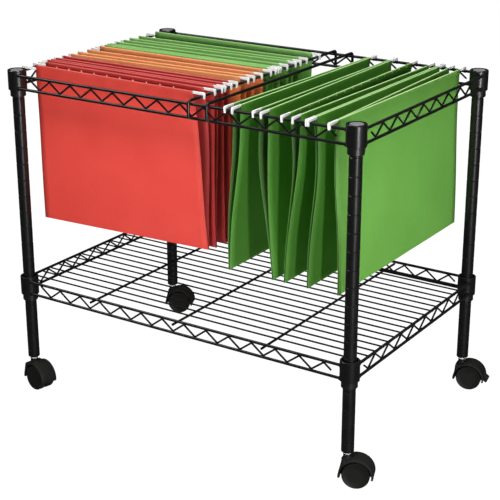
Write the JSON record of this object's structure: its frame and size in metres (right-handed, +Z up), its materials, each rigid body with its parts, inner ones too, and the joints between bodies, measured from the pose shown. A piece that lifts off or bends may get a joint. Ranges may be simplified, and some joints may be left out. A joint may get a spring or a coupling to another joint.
{
  "type": "mobile file cart",
  "caption": "Wire frame file cart on twin-wheel swivel casters, with rails that carry hanging folders in two bays over a wire shelf.",
  "frame": {"origin": "on the floor, at the middle of the rectangle between the four posts", "axes": "+X to the right seen from the front, +Y to the back, +Z up"},
  "size_m": [0.6421, 0.4277, 0.5249],
  "materials": {
    "black_wire": "black powder coat, semi-gloss",
    "sleeve_plastic": "black moulded",
    "cap_plastic": "grey moulded, satin",
    "caster_plastic": "black moulded nylon",
    "zinc_steel": "bright zinc",
    "card_red": "uncoated card",
    "card_orange": "uncoated card",
    "card_green": "uncoated card"
  },
  "bodies": {
    "cart_frame": {"post_front_left": "black_wire", "post_front_right": "black_wire", "post_back_right": "black_wire", "post_back_left": "black_wire", "post_cap_front_left": "cap_plastic", "post_cap_front_right": "cap_plastic", "post_cap_back_right": "cap_plastic", "post_cap_back_left": "cap_plastic", "sleeve_upper_front_left": "sleeve_plastic", "sleeve_upper_front_right": "sleeve_plastic", "sleeve_upper_back_right": "sleeve_plastic", "sleeve_upper_back_left": "sleeve_plastic", "sleeve_lower_front_left": "sleeve_plastic", "sleeve_lower_front_right": "sleeve_plastic", "sleeve_lower_back_right": "sleeve_plastic", "sleeve_lower_back_left": "sleeve_plastic", "top_rail_front": "black_wire", "top_rail_back": "black_wire", "top_rail_left": "black_wire", "top_rail_right": "black_wire", "shelf_rail_front": "black_wire", "shelf_rail_back": "black_wire", "shelf_deck": "black_wire", "cross_rail_1": "black_wire", "cross_rail_2": "black_wire", "caster_stem_front_left": "zinc_steel", "caster_stem_front_right": "zinc_steel", "caster_stem_back_right": "zinc_steel", "caster_stem_back_left": "zinc_steel"},
    "caster_front_left": {"caster_hood_front_left": "caster_plastic", "caster_axle_front_left": "zinc_steel"},
    "caster_front_right": {"caster_hood_front_right": "caster_plastic", "caster_axle_front_right": "zinc_steel"},
    "caster_back_right": {"caster_hood_back_right": "caster_plastic", "caster_axle_back_right": "zinc_steel"},
    "caster_back_left": {"caster_hood_back_left": "caster_plastic", "caster_axle_back_left": "zinc_steel"},
    "wheel_a_front_left": {"caster_wheel_a_front_left": "caster_plastic"},
    "wheel_b_front_left": {"caster_wheel_b_front_left": "caster_plastic"},
    "wheel_a_front_right": {"caster_wheel_a_front_right": "caster_plastic"},
    "wheel_b_front_right": {"caster_wheel_b_front_right": "caster_plastic"},
    "wheel_a_back_right": {"caster_wheel_a_back_right": "caster_plastic"},
    "wheel_b_back_right": {"caster_wheel_b_back_right": "caster_plastic"},
    "wheel_a_back_left": {"caster_wheel_a_back_left": "caster_plastic"},
    "wheel_b_back_left": {"caster_wheel_b_back_left": "caster_plastic"},
    "brake_back_right": {"caster_brake_back_right": "caster_plastic"},
    "red_1": {"folder_red_1": "card_red"},
    "red_2": {"folder_red_2": "card_red"},
    "red_3": {"folder_red_3": "card_red"},
    "orange_1": {"folder_orange_1": "card_orange"},
    "orange_2": {"folder_orange_2": "card_orange"},
    "green_1": {"folder_green_1": "card_green"},
    "green_2": {"folder_green_2": "card_green"},
    "green_3": {"folder_green_3": "card_green"},
    "green_4": {"folder_green_4": "card_green"},
    "green_5": {"folder_green_5": "card_green"},
    "green_6": {"folder_green_6": "card_green"},
    "green_7": {"folder_green_7": "card_green"},
    "green_8": {"folder_green_8": "card_green"},
    "green_9": {"folder_green_9": "card_green"}
  },
  "joints": [
    {"name": "swivel_front_left", "type": "hinge", "parent": "cart_frame", "child": "caster_front_left", "pos_m": [-0.29, -0.1885, 0.045], "axis": [0, 0, 1], "continuous": true},
    {"name": "swivel_front_right", "type": "hinge", "parent": "cart_frame", "child": "caster_front_right", "pos_m": [0.29, -0.1885, 0.045], "axis": [0, 0, 1], "continuous": true},
    {"name": "swivel_back_right", "type": "hinge", "parent": "cart_frame", "child": "caster_back_right", "pos_m": [0.29, 0.1885, 0.045], "axis": [0, 0, 1], "continuous": true},
    {"name": "swivel_back_left", "type": "hinge", "parent": "cart_frame", "child": "caster_back_left", "pos_m": [-0.29, 0.1885, 0.045], "axis": [0, 0, 1], "continuous": true},
    {"name": "spin_a_front_left", "type": "hinge", "parent": "caster_front_left", "child": "wheel_a_front_left", "pos_m": [-0.27682, -0.19142, 0.02011], "axis": [0.2164, 0.9763, 0], "continuous": true},
    {"name": "spin_b_front_left", "type": "hinge", "parent": "caster_front_left", "child": "wheel_b_front_left", "pos_m": [-0.27682, -0.19142, 0.02011], "axis": [0.2164, 0.9763, 0], "continuous": true},
    {"name": "spin_a_front_right", "type": "hinge", "parent": "caster_front_right", "child": "wheel_a_front_right", "pos_m": [0.3026, -0.18366, 0.02011], "axis": [-0.3584, 0.9336, 0], "continuous": true},
    {"name": "spin_b_front_right", "type": "hinge", "parent": "caster_front_right", "child": "wheel_b_front_right", "pos_m": [0.3026, -0.18366, 0.02011], "axis": [-0.3584, 0.9336, 0], "continuous": true},
    {"name": "spin_a_back_right", "type": "hinge", "parent": "caster_back_right", "child": "wheel_a_back_right", "pos_m": [0.30317, 0.19147, 0.02011], "axis": [-0.2198, 0.9755, 0], "continuous": true},
    {"name": "spin_b_back_right", "type": "hinge", "parent": "caster_back_right", "child": "wheel_b_back_right", "pos_m": [0.30317, 0.19147, 0.02011], "axis": [-0.2198, 0.9755, 0], "continuous": true},
    {"name": "spin_a_back_left", "type": "hinge", "parent": "caster_back_left", "child": "wheel_a_back_left", "pos_m": [-0.27767, 0.19399, 0.02011], "axis": [-0.4067, 0.9135, 0], "continuous": true},
    {"name": "spin_b_back_left", "type": "hinge", "parent": "caster_back_left", "child": "wheel_b_back_left", "pos_m": [-0.27767, 0.19399, 0.02011], "axis": [-0.4067, 0.9135, 0], "continuous": true},
    {"name": "brake_back_right", "type": "hinge", "parent": "caster_back_right", "child": "brake_back_right", "pos_m": [0.3255, 0.1965, 0.02497], "axis": [0.2198, -0.9755, 0], "range_deg": [0, 12]},
    {"name": "lift_red_1", "type": "slide", "parent": "cart_frame", "child": "red_1", "axis": [0, 0, 1], "range_m": [0, 0.3]},
    {"name": "lift_red_2", "type": "slide", "parent": "cart_frame", "child": "red_2", "axis": [0, 0, 1], "range_m": [0, 0.3]},
    {"name": "lift_red_3", "type": "slide", "parent": "cart_frame", "child": "red_3", "axis": [0, 0, 1], "range_m": [0, 0.3]},
    {"name": "lift_orange_1", "type": "slide", "parent": "cart_frame", "child": "orange_1", "axis": [0, 0, 1], "range_m": [0, 0.3]},
    {"name": "lift_orange_2", "type": "slide", "parent": "cart_frame", "child": "orange_2", "axis": [0, 0, 1], "range_m": [0, 0.3]},
    {"name": "lift_green_1", "type": "slide", "parent": "cart_frame", "child": "green_1", "axis": [0, 0, 1], "range_m": [0, 0.3]},
    {"name": "lift_green_2", "type": "slide", "parent": "cart_frame", "child": "green_2", "axis": [0, 0, 1], "range_m": [0, 0.3]},
    {"name": "lift_green_3", "type": "slide", "parent": "cart_frame", "child": "green_3", "axis": [0, 0, 1], "range_m": [0, 0.3]},
    {"name": "lift_green_4", "type": "slide", "parent": "cart_frame", "child": "green_4", "axis": [0, 0, 1], "range_m": [0, 0.3]},
    {"name": "lift_green_5", "type": "slide", "parent": "cart_frame", "child": "green_5", "axis": [0, 0, 1], "range_m": [0, 0.3]},
    {"name": "lift_green_6", "type": "slide", "parent": "cart_frame", "child": "green_6", "axis": [0, 0, 1], "range_m": [0, 0.3]},
    {"name": "lift_green_7", "type": "slide", "parent": "cart_frame", "child": "green_7", "axis": [0, 0, 1], "range_m": [0, 0.3]},
    {"name": "lift_green_8", "type": "slide", "parent": "cart_frame", "child": "green_8", "axis": [0, 0, 1], "range_m": [0, 0.3]},
    {"name": "lift_green_9", "type": "slide", "parent": "cart_frame", "child": "green_9", "axis": [0, 0, 1], "range_m": [0, 0.3]}
  ]
}
